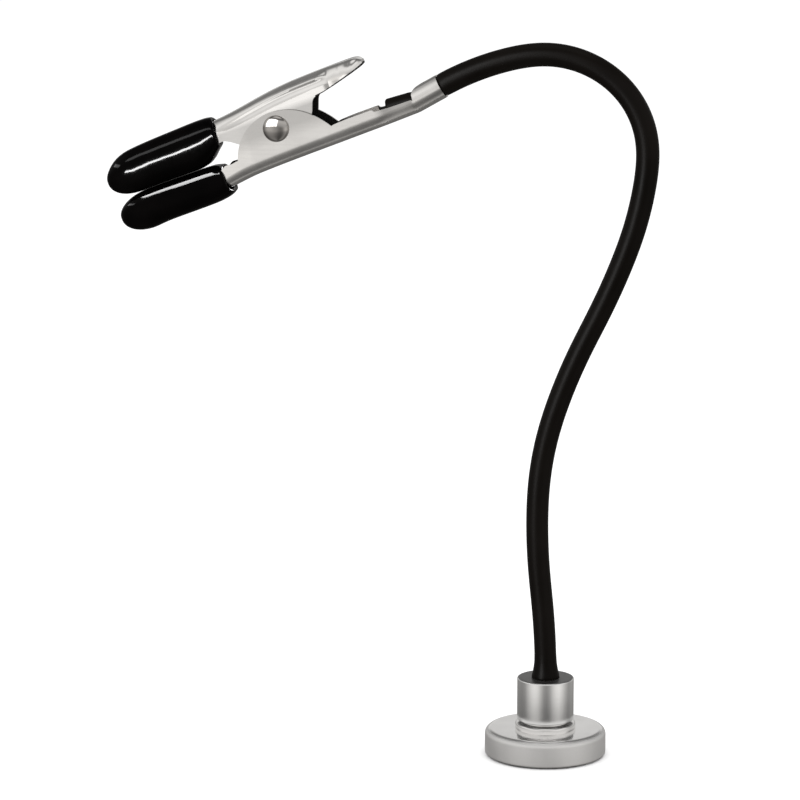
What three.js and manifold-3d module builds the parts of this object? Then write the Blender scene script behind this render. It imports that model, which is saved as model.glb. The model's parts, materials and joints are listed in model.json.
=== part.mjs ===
import * as THREE from "three";
import { mergeVertices } from "three/addons/utils/BufferGeometryUtils.js";
import Module from "manifold-3d";

// A magnetic foot, a bendable arm in a black plastic sleeve and a spring clip with two vinyl jaw caps.
// Millimetres, +Z up. The foot stands on z = 0 around the origin and the arm lies in the XZ plane.

const wasm = await Module();
wasm.setup();

// ---------- driving dimensions ----------
const FULL_TURN = 2 * Math.PI;

// Foot: pot magnet
const CUP_RADIUS = 16;
const CUP_HEIGHT = 7;
const CUP_WALL = 1.8;
const CUP_ROOF = 2;
const CUP_EDGE = 1.6;
const CUP_FOOT_EDGE = 0.8;
const MAGNET_RADIUS = 13;
const SPACER_RECESS = 0.6;
const FIT = 0.1;

// Foot: headless stud, polished ring and collar
const STUD_RADIUS = 2.4;
const STUD_FOOT = 5.1;
const STUD_TOP = 13;
const STUD_CHAMFER = 0.4;
const STUD_SOCKET_RADIUS = 1.4;
const STUD_SOCKET_DEPTH = 2.5;
const RING_TOP = 9.4;
const RING_BULGE = 8.2;
const RING_NECK = 7;
const RING_BEAD = 0.9;
const RING_BEAD_STEP = 0.45;
const RING_ROUND = 0.15;
const COLLAR_RADIUS = 7.5;
const COLLAR_TOP = 20.7;
const COLLAR_LEDGE = 13.4;
const COLLAR_BORE = 3.6;
const COLLAR_EDGE = 0.35;
const COLLAR_FOOT_EDGE = 0.2;

// Arm: equal arcs, each with its whole-degree bend, from the collar to the clip's barrel
const LINK_LENGTH = 23.9;
const LINK_BENDS = [7, -9, -16, -9, 7, 15, 56, 50, 19];
const SLEEVE_RADIUS = 3;
const SLEEVE_BORE = 2.15;
const SLEEVE_SIDES = 14;
const ARC_SAG = 0.1;
const SEAT_RADIUS = 3.3;
const SEAT_LIP = 1.4;
const NOSE_OPENING = 1.3;
const CUFF_RADIUS = 3.4;
const CUFF_LENGTH = 5;
const SLEEVE_FOOT = 13.7;
const CORE_CREST = 1.9;
const CORE_ROOT = 1.6;
const CORE_BORE = 0.8;
const CORE_PITCH = 4;
const CORE_SIDES = 8;
const CORE_TO_NEXT_PIVOT = 3.5;
const CORE_INTO_NOSE = 0.9;

// Clip: sheet metal, in its own frame with the rivet on the Y axis and the barrel toward +X
const CLIP_PITCH = 20.5;
const BARREL_RISE = 9.5;
const BARREL_LENGTH = 8;
const BARREL_RADIUS = 3.3;
const BARREL_FLAT = 0.05;
const BARREL_END = new THREE.Vector2(44.2, -4.05);
const SHEET = 0.7;
const LOWER_HALF = 5.15;
const UPPER_HALF = 4.3;
const RIVET_RADIUS = 1.5;
const RIVET_HOLE = 1.8;
const RIVET_HEAD = 3.5;
const RIVET_HEAD_HEIGHT = 1.7;
const RIVET_FAR_SHARE = 0.8;
const JAW_TIP = -44;
const TEETH_START = -43;
const TEETH_END = -22;
const TEETH = 7;
const TOOTH_DEPTH = 1.1;

// Clip: sleeve end held in the barrel
const CRIMP_RADIUS = 2.4;
const TAIL_RADIUS = 2.5;
const TAIL_END = 28.6;
const TAIL_LIFT = 3;
const TAIL_FLARE = 0.8;
const TAIL_EDGE = 0.35;
const CORE_TAIL_MARGIN = 1;

// Clip: torsion spring
const WIRE_RADIUS = 0.5;
const COIL_RADIUS = 2.7;
const COIL_HALF_WIDTH = 1.6;
const LEG_REACH = 15;
const LEG_TOP = 8.3;
const LEG_BOTTOM = -7.8;

// Jaw caps
const CAP_WALL = 0.9;
const UPPER_CAP_CORNERS = [3.2, 1.2];
const LOWER_CAP_CORNERS = [2.6, 1.2];

// ---------- materials ----------
function finish(color, roughness, metalness) {
  return new THREE.MeshStandardMaterial({ color, roughness, metalness });
}
const PLATED = finish(0xc9c6c3, 0.3, 1);
const POLISHED = finish(0xd6d4d2, 0.12, 1);
const TURNED = finish(0xb4b4b6, 0.35, 1);
const FERRITE = finish(0x3b3a3a, 0.7, 0);
const RESIN = finish(0x2a2a2c, 0.6, 0);
const BLACK_SLEEVE = finish(0x14110f, 0.45, 0);
const BLACK_VINYL = finish(0x060606, 0.12, 0);
const GOOSENECK_STEEL = finish(0x8d8a86, 0.4, 1);
const SPRING_STEEL = finish(0xa9a6a2, 0.3, 1);
const BLACK_SCREW = finish(0x2b2b2d, 0.4, 1);

const group = new THREE.Group();
group.name = "airbrush_holder_stand";

function add(name, geometry, material) {
  const mesh = new THREE.Mesh(geometry, material.clone());
  mesh.name = name;
  group.add(mesh);
}

// ---------- mesh helpers ----------

// Build a closed solid from triangles and turn it so that its faces point outward.
function solid(points, index) {
  let volume = 0;
  const cross = new THREE.Vector3();
  for (let i = 0; i < index.length; i += 3) {
    cross.crossVectors(points[index[i + 1]], points[index[i + 2]]);
    volume += points[index[i]].dot(cross);
  }
  if (volume < 0) {
    index.reverse();
  }
  const geometry = new THREE.BufferGeometry();
  geometry.setAttribute("position", new THREE.Float32BufferAttribute(points.flatMap((p) => p.toArray()), 3));
  geometry.setIndex(index);
  return geometry;
}

// Join neighbouring rings of equal size with two triangles per side.
function ringBand(index, first, second, sides) {
  for (let j = 0; j < sides; j++) {
    const k = (j + 1) % sides;
    index.push(first + j, second + j, second + k, first + j, second + k, first + k);
  }
}

// A tube wall: the rings run out along the outside and back along the inside.
function ringLoop(rings) {
  const sides = rings[0].length;
  const index = [];
  rings.forEach((ring, i) => {
    ringBand(index, i * sides, ((i + 1) % rings.length) * sides, sides);
  });
  return solid(rings.flat(), index);
}

// A run of rings closed by a point at each end.
function ringRun(start, rings, end) {
  const sides = rings[0].length;
  const index = [];
  const points = [...rings.flat(), start, end];
  const startIndex = points.length - 2;
  const endIndex = points.length - 1;
  const last = (rings.length - 1) * sides;
  for (let i = 0; i + 1 < rings.length; i++) {
    ringBand(index, i * sides, (i + 1) * sides, sides);
  }
  for (let j = 0; j < sides; j++) {
    const k = (j + 1) % sides;
    index.push(startIndex, j, k);
    index.push(endIndex, last + k, last + j);
  }
  return solid(points, index);
}

// Cut one solid out of another.
function subtract(body, tool) {
  const toManifold = (geometry) => {
    const bare = geometry.clone();
    bare.deleteAttribute("normal");
    bare.deleteAttribute("uv");
    const merged = mergeVertices(bare, 1e-4);
    return new wasm.Manifold(new wasm.Mesh({
      numProp: 3,
      vertProperties: new Float32Array(merged.attributes.position.array),
      triVerts: new Uint32Array(merged.index.array),
    }));
  };
  const mesh = toManifold(body).subtract(toManifold(tool)).getMesh();
  const result = new THREE.BufferGeometry();
  result.setAttribute("position", new THREE.BufferAttribute(new Float32Array(mesh.vertProperties), 3));
  result.setIndex([...mesh.triVerts]);
  return result;
}

// Revolve a closed (radius, height) outline about Z.
function turned(outline, segments) {
  const points = outline.map(([radius, height]) => new THREE.Vector2(radius, height));
  points.push(points[0].clone());
  const lathe = new THREE.LatheGeometry(points, segments).rotateX(Math.PI / 2);
  return mergeVertices(lathe.deleteAttribute("uv").deleteAttribute("normal"));
}

// Corner points of a quarter round from angle a0 to a1 (degrees) about (r, z).
function round(r, z, radius, a0, a1, steps) {
  return Array.from({ length: steps + 1 }, (_, i) => {
    const a = THREE.MathUtils.degToRad(a0 + ((a1 - a0) * i) / steps);
    return [r + radius * Math.cos(a), z + radius * Math.sin(a)];
  });
}

// Straight-line interpolation through a short list of (x, value) points.
function along(stops, x) {
  if (x <= stops[0][0]) {
    return stops[0][1];
  }
  for (let i = 1; i < stops.length; i++) {
    const [x0, v0] = stops[i - 1];
    const [x1, v1] = stops[i];
    if (x <= x1) {
      return v0 + ((v1 - v0) * (x - x0)) / (x1 - x0);
    }
  }
  return stops[stops.length - 1][1];
}

// ---------- foot ----------
const FOOT_SEGMENTS = 36;
const cavityRadius = CUP_RADIUS - CUP_WALL;
const cavityTop = CUP_HEIGHT - CUP_ROOF;
const threadBore = STUD_RADIUS + FIT;
add("magnet_cup", turned([
  [cavityRadius, 0],
  ...round(CUP_RADIUS - CUP_FOOT_EDGE, CUP_FOOT_EDGE, CUP_FOOT_EDGE, -90, 0, 2),
  ...round(CUP_RADIUS - CUP_EDGE, CUP_HEIGHT - CUP_EDGE, CUP_EDGE, 0, 90, 4),
  [threadBore, CUP_HEIGHT],
  [threadBore, cavityTop],
  [cavityRadius, cavityTop],
], FOOT_SEGMENTS), TURNED);

const magnetTop = cavityTop - FIT;
add("disc_magnet", turned([
  [0, 0],
  [MAGNET_RADIUS, 0],
  [MAGNET_RADIUS, magnetTop],
  [0, magnetTop],
], FOOT_SEGMENTS), FERRITE);

add("magnet_spacer", turned([
  [MAGNET_RADIUS + FIT, SPACER_RECESS],
  [cavityRadius - FIT, SPACER_RECESS],
  [cavityRadius - FIT, magnetTop],
  [MAGNET_RADIUS + FIT, magnetTop],
], FOOT_SEGMENTS), RESIN);

const studBlank = turned([
  [0, STUD_FOOT],
  [STUD_RADIUS - STUD_CHAMFER, STUD_FOOT],
  [STUD_RADIUS, STUD_FOOT + STUD_CHAMFER],
  [STUD_RADIUS, STUD_TOP - STUD_CHAMFER],
  [STUD_RADIUS - STUD_CHAMFER, STUD_TOP],
  [0, STUD_TOP],
], 24);
const HEXAGON = 6;
const socket = new THREE.CylinderGeometry(STUD_SOCKET_RADIUS, STUD_SOCKET_RADIUS, 2 * STUD_SOCKET_DEPTH, HEXAGON);
socket.rotateX(Math.PI / 2).translate(0, 0, STUD_TOP);
add("base_stud", subtract(studBlank, socket), BLACK_SCREW);

add("neck_ring", turned([
  [threadBore, CUP_HEIGHT],
  [RING_NECK, CUP_HEIGHT],
  [RING_BULGE - RING_ROUND, CUP_HEIGHT + RING_BEAD - RING_BEAD_STEP],
  [RING_BULGE, CUP_HEIGHT + RING_BEAD],
  [RING_BULGE - RING_ROUND, CUP_HEIGHT + RING_BEAD + RING_BEAD_STEP],
  [RING_NECK, RING_TOP - RING_BEAD_STEP],
  [RING_NECK, RING_TOP],
  [threadBore, RING_TOP],
], FOOT_SEGMENTS), POLISHED);

add("collar", turned([
  [threadBore, RING_TOP],
  [COLLAR_RADIUS - COLLAR_FOOT_EDGE, RING_TOP],
  [COLLAR_RADIUS, RING_TOP + COLLAR_FOOT_EDGE],
  ...round(COLLAR_RADIUS - COLLAR_EDGE, COLLAR_TOP - COLLAR_EDGE, COLLAR_EDGE, 0, 90, 2),
  [COLLAR_BORE, COLLAR_TOP],
  [COLLAR_BORE, COLLAR_LEDGE],
  [threadBore, COLLAR_LEDGE],
], FOOT_SEGMENTS), TURNED);

// ---------- arm ----------

// A station on the arm's centre line: place in the XZ plane and lean from vertical toward -X, in radians.
function station(x, z, lean) {
  return { x, z, lean };
}

function stepAlong(from, distance) {
  return station(
    from.x - Math.sin(from.lean) * distance,
    from.z + Math.cos(from.lean) * distance,
    from.lean,
  );
}

// Follow a circular arc of the given length and bend from a station.
function arcAlong(from, length, bend) {
  const chord = length * (Math.abs(bend) < 1e-9 ? 1 : Math.sin(bend / 2) / (bend / 2));
  const end = stepAlong(station(from.x, from.z, from.lean + bend / 2), chord);
  return station(end.x, end.z, from.lean + bend);
}

// A ring of the tube at a station; y shifts it sideways.
function ring(at, radius, sides, y = 0) {
  return Array.from({ length: sides }, (_, i) => {
    const a = (FULL_TURN * i) / sides;
    const out = radius * Math.cos(a);
    return new THREE.Vector3(
      at.x + out * Math.cos(at.lean),
      y + radius * Math.sin(a),
      at.z + out * Math.sin(at.lean),
    );
  });
}

const pivots = [station(0, COLLAR_TOP, 0)];
for (const bend of LINK_BENDS) {
  pivots.push(arcAlong(pivots[pivots.length - 1], LINK_LENGTH, THREE.MathUtils.degToRad(bend)));
}
const lastLink = LINK_BENDS.length - 1;

// The centre line at distance s from the link's start; straight near both pivots.
function linkStation(i, s) {
  if (s <= 0) {
    return stepAlong(pivots[i], s);
  }
  if (s > LINK_LENGTH - SEAT_RADIUS && i < lastLink) {
    return stepAlong(pivots[i + 1], s - LINK_LENGTH);
  }
  return arcAlong(pivots[i], s, (THREE.MathUtils.degToRad(LINK_BENDS[i]) * s) / LINK_LENGTH);
}

// Even distances between two ends, close enough together that each chord stays near the arc.
function arcDistances(i, from, to) {
  const bend = (THREE.MathUtils.degToRad(Math.abs(LINK_BENDS[i])) * (to - from)) / LINK_LENGTH;
  const steps = Math.max(1, Math.ceil(Math.sqrt(((to - from) * bend) / (8 * ARC_SAG))));
  return Array.from({ length: steps + 1 }, (_, k) => from + ((to - from) * k) / steps);
}

// Rounded nose around the link's start pivot, from the opening to the full tube.
function noseRings(i, radius, steps) {
  const first = Math.asin(NOSE_OPENING / radius);
  return Array.from({ length: steps }, (_, k) => {
    const a = first + ((Math.PI / 2 - first) * k) / steps;
    return ring(linkStation(i, -radius * Math.cos(a)), radius * Math.sin(a), SLEEVE_SIDES);
  });
}

// Hollow seat in the link's far end, centred on the next pivot, from the lip inward.
function seatRings(i) {
  const lip = Math.acos(SEAT_LIP / SEAT_RADIUS);
  const bore = Math.asin(SLEEVE_BORE / SEAT_RADIUS);
  return [0, 0.5, 1].map((t) => {
    const a = lip + (bore - lip) * t;
    const reach = SEAT_RADIUS * Math.cos(a);
    const radius = Math.min(SEAT_RADIUS * Math.sin(a), SLEEVE_RADIUS - 0.05);
    return ring(stepAlong(pivots[i + 1], -reach), radius, SLEEVE_SIDES);
  });
}

// The tail: through the barrel in line with the arm, then along the channel floor.
const clipPitch = THREE.MathUtils.degToRad(CLIP_PITCH);
const tailLean = Math.PI / 2 + clipPitch - THREE.MathUtils.degToRad(TAIL_LIFT);
const armEnd = pivots[pivots.length - 1];
const tailStart = BARREL_LENGTH + 0.4;
function tailStation(distance) {
  if (distance <= tailStart) {
    return stepAlong(armEnd, distance);
  }
  const turn = stepAlong(armEnd, tailStart);
  const level = station(turn.x, turn.z, tailLean);
  return stepAlong(level, distance - tailStart);
}
const tailLength = BARREL_END.x - TAIL_END;

function sleeve(i) {
  const tube = (s, radius) => ring(linkStation(i, s), radius, SLEEVE_SIDES);
  const outside = [];
  const inside = [];
  if (i === 0) {
    const foot = SLEEVE_FOOT - COLLAR_TOP;
    outside.push(tube(foot, CUFF_RADIUS), tube(0, CUFF_RADIUS), tube(CUFF_LENGTH / 2, CUFF_RADIUS - 0.15));
    inside.push(tube(foot, SLEEVE_BORE), tube(0, SLEEVE_BORE));
  } else {
    outside.push(...noseRings(i, SLEEVE_RADIUS, 4), tube(0, SLEEVE_RADIUS));
    inside.push(...noseRings(i, SLEEVE_BORE, 2), tube(0, SLEEVE_BORE));
  }
  if (i < lastLink) {
    const start = i === 0 ? CUFF_LENGTH : 0;
    const outerStops = arcDistances(i, start, LINK_LENGTH - SEAT_LIP);
    const innerStops = arcDistances(i, 0, LINK_LENGTH - SEAT_RADIUS);
    outside.push(...outerStops.slice(i === 0 ? 0 : 1).map((s) => tube(s, SLEEVE_RADIUS)));
    outside.push(...seatRings(i));
    inside.push(...innerStops.slice(1).map((s) => tube(s, SLEEVE_BORE)));
    return ringLoop([...outside, ...inside.reverse()]);
  }
  const tail = (distance, radius) => ring(tailStation(distance), radius, SLEEVE_SIDES);
  outside.push(...arcDistances(i, 0, LINK_LENGTH - TAIL_EDGE).slice(1).map((s) => tube(s, SLEEVE_RADIUS)));
  outside.push(tail(0, CRIMP_RADIUS), tail(tailStart, CRIMP_RADIUS));
  outside.push(tail(tailStart + TAIL_FLARE, TAIL_RADIUS), tail(tailLength - TAIL_EDGE, TAIL_RADIUS));
  outside.push(tail(tailLength, TAIL_RADIUS - TAIL_EDGE));
  inside.push(...arcDistances(i, 0, LINK_LENGTH).slice(1).map((s) => tube(s, SLEEVE_BORE)));
  inside.push(tail(tailStart, SLEEVE_BORE), tail(tailLength, SLEEVE_BORE));
  return ringLoop([...outside, ...inside.reverse()]);
}

// The gooseneck inside the sleeve: a wall with a ridge for each turn of wire.
function core(i) {
  const first = i === 0 ? SLEEVE_FOOT - COLLAR_TOP : -CORE_INTO_NOSE;
  const last = i === lastLink ? LINK_LENGTH + tailLength - CORE_TAIL_MARGIN : LINK_LENGTH - CORE_TO_NEXT_PIVOT;
  const at = (s) => (s > LINK_LENGTH ? tailStation(s - LINK_LENGTH) : linkStation(i, s));
  const turns = Math.round((last - first) / CORE_PITCH);
  const pitch = (last - first) / turns;
  const outside = [];
  for (let k = 0; k < turns; k++) {
    const s = first + pitch * k;
    outside.push(ring(at(s), CORE_ROOT, CORE_SIDES));
    outside.push(ring(at(s + pitch * 0.5), CORE_CREST, CORE_SIDES));
  }
  outside.push(ring(at(last), CORE_ROOT, CORE_SIDES));
  const boreStops = arcDistances(i, first, last);
  const inside = boreStops.map((s) => ring(at(s), CORE_BORE, CORE_SIDES));
  return ringLoop([...outside, ...inside.reverse()]);
}

LINK_BENDS.forEach((_, i) => {
  const number = String(i + 1).padStart(2, "0");
  add(`arm_sleeve_${number}`, sleeve(i), BLACK_SLEEVE);
  add(`arm_core_${number}`, core(i), GOOSENECK_STEEL);
});

// ---------- clip ----------

// From the clip's own frame to the stand: pitched up toward the barrel, barrel end on the arm's end.
const clipPlace = new THREE.Matrix4().makeRotationY(-clipPitch);
const barrelEnd = new THREE.Vector3(BARREL_END.x, 0, BARREL_END.y).applyMatrix4(clipPlace);
clipPlace.setPosition(armEnd.x - barrelEnd.x, 0, armEnd.z - barrelEnd.z);

function addToClip(name, geometry, material) {
  add(name, geometry.applyMatrix4(clipPlace), material);
}

// Half of a bent sheet section, from the middle of the floor out to the wall's edge.
const BEND_STEPS = 4;
const WALL_STEPS = 2;
function halfSection({ half, bend, height, wrap }, inset) {
  const centre = half - bend;
  const radius = bend - inset;
  const points = [[0, inset], [centre, inset]];
  for (let k = 1; k <= BEND_STEPS; k++) {
    const a = ((Math.PI / 2) * k) / BEND_STEPS;
    points.push([centre + radius * Math.sin(a), bend - radius * Math.cos(a)]);
  }
  for (let k = 1; k <= WALL_STEPS; k++) {
    if (wrap) {
      const a = Math.PI / 2 + ((wrap - Math.PI / 2) * k) / WALL_STEPS;
      points.push([centre + radius * Math.sin(a), bend - radius * Math.cos(a)]);
    } else {
      points.push([half - inset, bend + ((height - bend) * k) / WALL_STEPS]);
    }
  }
  return points;
}

// Outer and inner lines of the whole section, wall edge to wall edge.
function sheetSection(shape) {
  const full = (half) => [...half.slice(1).reverse().map(([y, h]) => [-y, h]), ...half];
  return [...full(halfSection(shape, 0)), ...full(halfSection(shape, SHEET)).reverse()];
}

// Join bent-sheet sections into one closed strip; the ends are closed across the sheet's thickness.
function sheetStrip(rings) {
  const sides = rings[0].length;
  const index = [];
  for (let i = 0; i + 1 < rings.length; i++) {
    ringBand(index, i * sides, (i + 1) * sides, sides);
  }
  const last = (rings.length - 1) * sides;
  for (let j = 0; j + 1 < sides / 2; j++) {
    const inner = sides - 1 - j;
    index.push(j, j + 1, inner - 1, j, inner - 1, inner);
    index.push(last + j, last + inner - 1, last + j + 1, last + j, last + inner, last + inner - 1);
  }
  return solid(rings.flat(), index);
}

// Positions where the jaws need a section: teeth, then the given stops.
function jawStops(stops) {
  const pitch = (TEETH_END - TEETH_START) / TEETH;
  const teeth = Array.from({ length: 2 * TEETH + 1 }, (_, k) => TEETH_START + (pitch * k) / 2);
  return [JAW_TIP, ...teeth, ...stops];
}

function toothed(x, tip) {
  const pitch = (TEETH_END - TEETH_START) / TEETH;
  const phase = ((x - TEETH_START) / pitch) % 1;
  return tip - TOOTH_DEPTH * Math.abs(2 * phase - 1);
}

// Lower jaw: floor, wall tops with the pivot ears, and a barrel rolled from the channel's end.
const EAR_RADIUS = 13;
const EAR_CENTRE = new THREE.Vector2(-0.3, -8.6);
const EAR_FRONT = -12.8;
const EAR_CREST = 1.5;
const rearEar = new THREE.QuadraticBezierCurve(
  new THREE.Vector2(EAR_CREST, 4.28),
  new THREE.Vector2(9, 3.4),
  new THREE.Vector2(14, -4.2),
);
const REAR_EAR_STEPS = 6;
const rearEarPoints = rearEar.getPoints(REAR_EAR_STEPS).map((p) => [p.x, p.y]);
const lowerFloor = [
  [JAW_TIP, -10.8], [-41, -11.9], [-30, -12.1], [-18, -10.9], [-8.4, -9.8], [17.5, -9.1], [36, -8.7],
];
const lowerHalf = [
  [JAW_TIP, 2.9], [-40, 3.7], [-24, 4.3], [-12, 5], [-8, LOWER_HALF], [27, LOWER_HALF], [36, BARREL_RADIUS],
];
const lowerBend = [[JAW_TIP, 1.4], [-24, 2.2], [-12, 3.2], [27, 3.3], [36, BARREL_RADIUS - BARREL_FLAT]];
const LOWER_TEETH_TIP = -6.1;
const channelTop = [[14, -4.2], [16, -3.9], [25.6, -3.7], [25.9, -4.4], [36, -4.7]];
const lowerFront = [[-17.8, -5.6], [-16.4, -4.8], [EAR_FRONT - 0.2, -4.8]];

function lowerTop(x) {
  if (x <= TEETH_END) {
    return toothed(Math.max(x, TEETH_START), LOWER_TEETH_TIP);
  }
  if (x <= EAR_FRONT) {
    return along(lowerFront, x);
  }
  if (x <= EAR_CREST) {
    return EAR_CENTRE.y + Math.sqrt(EAR_RADIUS ** 2 - (x - EAR_CENTRE.x) ** 2);
  }
  if (x < channelTop[0][0]) {
    return along(rearEarPoints, x);
  }
  return along(channelTop, x);
}

const FRONT_EAR_STEPS = 8;
const frontEarStops = Array.from({ length: FRONT_EAR_STEPS }, (_, k) => {
  const a = (Math.PI / 2) * (1 - k / FRONT_EAR_STEPS);
  return EAR_CENTRE.x + (EAR_FRONT - EAR_CENTRE.x) * Math.sin(a);
});
const CHANNEL_MIDDLE = 31;
const CHANNEL_END = 36;
const lowerStops = jawStops([
  ...lowerFront.map(([x]) => x),
  ...frontEarStops,
  ...rearEarPoints.map(([x]) => x),
  ...channelTop.slice(1, -1).map(([x]) => x),
  CHANNEL_MIDDLE,
  CHANNEL_END,
]).sort((a, b) => a - b);
const lowerRings = lowerStops.map((x) => {
  const floor = along(lowerFloor, x);
  const shape = { half: along(lowerHalf, x), bend: along(lowerBend, x), height: lowerTop(x) - floor };
  return sheetSection(shape).map(([y, h]) => new THREE.Vector3(x, y, floor + h));
});
const barrelRise = THREE.MathUtils.degToRad(BARREL_RISE);
const barrelWraps = [[7.8, 98], [6.6, 125], [5.2, 150], [4.2, 166], [0, 168]];
for (const [distance, wrap] of barrelWraps) {
  const shape = { half: BARREL_RADIUS, bend: BARREL_RADIUS - BARREL_FLAT, wrap: THREE.MathUtils.degToRad(wrap) };
  lowerRings.push(sheetSection(shape).map(([y, h]) => {
    const up = h - BARREL_RADIUS;
    return new THREE.Vector3(
      BARREL_END.x - distance * Math.cos(barrelRise) - up * Math.sin(barrelRise),
      y,
      BARREL_END.y - distance * Math.sin(barrelRise) + up * Math.cos(barrelRise),
    );
  }));
}

const rivetHole = new THREE.CylinderGeometry(RIVET_HOLE, RIVET_HOLE, 4 * LOWER_HALF, 20);
addToClip("clip_lower_jaw", subtract(sheetStrip(lowerRings), rivetHole), PLATED);

// Upper jaw: the same sheet turned over, with ears inside the lower ears and a thumb pad behind.
const upperRoof = [
  [JAW_TIP, 3.4], [-41, 5.2], [-30, 6.4], [-16, 7.1], [3, 9.8], [8, 10.2], [24, 10.5], [25.8, 10.1], [26.8, 9.2],
];
const upperHalf = [
  [JAW_TIP, 2.6], [-40, 3.3], [-20, 3.7], [-14, 3.9], [-6, UPPER_HALF],
  [17, UPPER_HALF], [20.5, 4.9], [23, 4.9], [25.8, 3.6], [26.8, 2.2],
];
const upperBend = [[JAW_TIP, 1.6], [-30, 2.4], [-16, 3.4], [0, 3.9], [23, 3.9], [25.8, 1.6], [26.8, 0.9]];
const UPPER_TEETH_TIP = -1.2;
const upperEdge = [
  [-20, 0.4], [-15, 1.3], [-13.5, 0.8], [-11, -0.8], [-7, -3.3], [-3, -4.6], [3, -4.6], [7, -2.6],
  [10, 0.1], [11.8, 4], [15, 4.8], [23.2, 6.9], [26.8, 8.0],
];

function upperBottom(x) {
  if (x <= TEETH_END) {
    return -toothed(Math.max(x, TEETH_START), -UPPER_TEETH_TIP);
  }
  return along(upperEdge, x);
}

const upperStops = jawStops([
  ...upperEdge.slice(0, -2).map(([x]) => x),
  ...upperHalf.slice(5).map(([x]) => x),
]).sort((a, b) => a - b);
const upperRings = upperStops.map((x) => {
  const roof = along(upperRoof, x);
  const shape = { half: along(upperHalf, x), bend: along(upperBend, x), height: roof - upperBottom(x) };
  return sheetSection(shape).map(([y, h]) => new THREE.Vector3(x, y, roof - h));
});
addToClip("clip_upper_jaw", subtract(sheetStrip(upperRings), rivetHole), PLATED);

// Rivet: a shank through all four ears with a domed head at each end.
function domedHead(radius, height, side) {
  const base = side * (LOWER_HALF + FIT / 2);
  return [0, 0.25, 0.5, 0.75].map((t) => {
    const a = (Math.PI / 2) * t;
    return [radius * Math.cos(a), base + side * height * Math.sin(a)];
  });
}
const rivetOutline = [
  [0, -LOWER_HALF - RIVET_HEAD_HEIGHT],
  ...domedHead(RIVET_HEAD, RIVET_HEAD_HEIGHT, -1).reverse(),
  [RIVET_RADIUS, -LOWER_HALF - FIT / 2],
  [RIVET_RADIUS, LOWER_HALF + FIT / 2],
  ...domedHead(RIVET_HEAD * RIVET_FAR_SHARE, RIVET_HEAD_HEIGHT * RIVET_FAR_SHARE, 1),
  [0, LOWER_HALF + RIVET_HEAD_HEIGHT * RIVET_FAR_SHARE],
];
const rivet = turned(rivetOutline, 20).rotateX(-Math.PI / 2);
addToClip("clip_rivet", rivet, POLISHED);

// Torsion spring: coils around the rivet, one leg under the thumb pad and one on the channel floor.
function legTangent(reach, height, side) {
  const distance = Math.hypot(reach, height);
  return Math.atan2(height, reach) + side * Math.acos(COIL_RADIUS / distance);
}
const coilStart = legTangent(LEG_REACH, LEG_BOTTOM, 1);
const COIL_TURNS = 3;
const coilEnd = legTangent(LEG_REACH, LEG_TOP, -1) + COIL_TURNS * FULL_TURN;
const COIL_STEPS = 46;
const WIRE_SIDES = 6;
const springRings = [];
// A wire ring heading along the coil at angle a; the station's lean turns its ring square to the wire.
const wireRing = (x, z, a, y) => ring(station(x, z, a), WIRE_RADIUS, WIRE_SIDES, y);
springRings.push(wireRing(LEG_REACH, LEG_BOTTOM, coilStart, -COIL_HALF_WIDTH));
for (let k = 0; k <= COIL_STEPS; k++) {
  const t = k / COIL_STEPS;
  const a = coilStart + (coilEnd - coilStart) * t;
  const y = COIL_HALF_WIDTH * (2 * t - 1);
  springRings.push(wireRing(COIL_RADIUS * Math.cos(a), COIL_RADIUS * Math.sin(a), a, y));
}
springRings.push(wireRing(LEG_REACH, LEG_TOP, coilEnd, COIL_HALF_WIDTH));
const springStart = new THREE.Vector3(LEG_REACH, -COIL_HALF_WIDTH, LEG_BOTTOM);
const springEnd = new THREE.Vector3(LEG_REACH, COIL_HALF_WIDTH, LEG_TOP);
addToClip("clip_spring", ringRun(springStart, springRings, springEnd), SPRING_STEEL);

// ---------- jaw caps ----------

// A ring round a rounded rectangle in the plane x.
const CORNER_STEPS = 3;
function capRing(x, low, high, half, corner) {
  const middle = (low + high) / 2;
  const radius = Math.min(corner, half * 0.95, ((high - low) / 2) * 0.95);
  const points = [];
  for (let quarter = 0; quarter < 4; quarter++) {
    const sideY = quarter === 0 || quarter === 3 ? 1 : -1;
    const sideZ = quarter < 2 ? 1 : -1;
    for (let k = 0; k <= CORNER_STEPS; k++) {
      const a = (Math.PI / 2) * (quarter + k / CORNER_STEPS);
      points.push(new THREE.Vector3(
        x,
        sideY * (half - radius) + radius * Math.cos(a),
        middle + sideZ * ((high - low) / 2 - radius) + radius * Math.sin(a),
      ));
    }
  }
  return points;
}

// A dipped sock over one jaw: the outside runs to the nose, the inside comes back to the open rear.
function jawCap({ top, bottom, rear, shoulder, nose, noseHeight, rearHalf, noseHalf, corners }) {
  const layer = (wall) => {
    const tip = nose + wall;
    const section = (x) => {
      const reach = Math.max(0, (shoulder - x) / (shoulder - tip));
      const shrink = Math.sqrt(1 - reach ** 2);
      const high = noseHeight + (along(top, x) - wall - noseHeight) * shrink;
      const low = noseHeight + (along(bottom, x) + wall - noseHeight) * shrink;
      const half = (along([[shoulder, noseHalf], [rear, rearHalf]], x) - wall) * shrink;
      return capRing(x, low, high, half, wall > 0 ? corners[1] : corners[0]);
    };
    const body = [rear, rear - 2.4, rear - 6, (rear + shoulder) / 2, shoulder];
    const dome = [0.35, 0.62, 0.84, 0.96].map((t) => shoulder + (tip - shoulder) * t);
    return { rings: [...body, ...dome].map(section), pole: new THREE.Vector3(tip, 0, noseHeight) };
  };
  const outside = layer(0);
  const inside = layer(CAP_WALL);
  return ringRun(outside.pole, [...outside.rings.reverse(), ...inside.rings], inside.pole);
}

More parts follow.
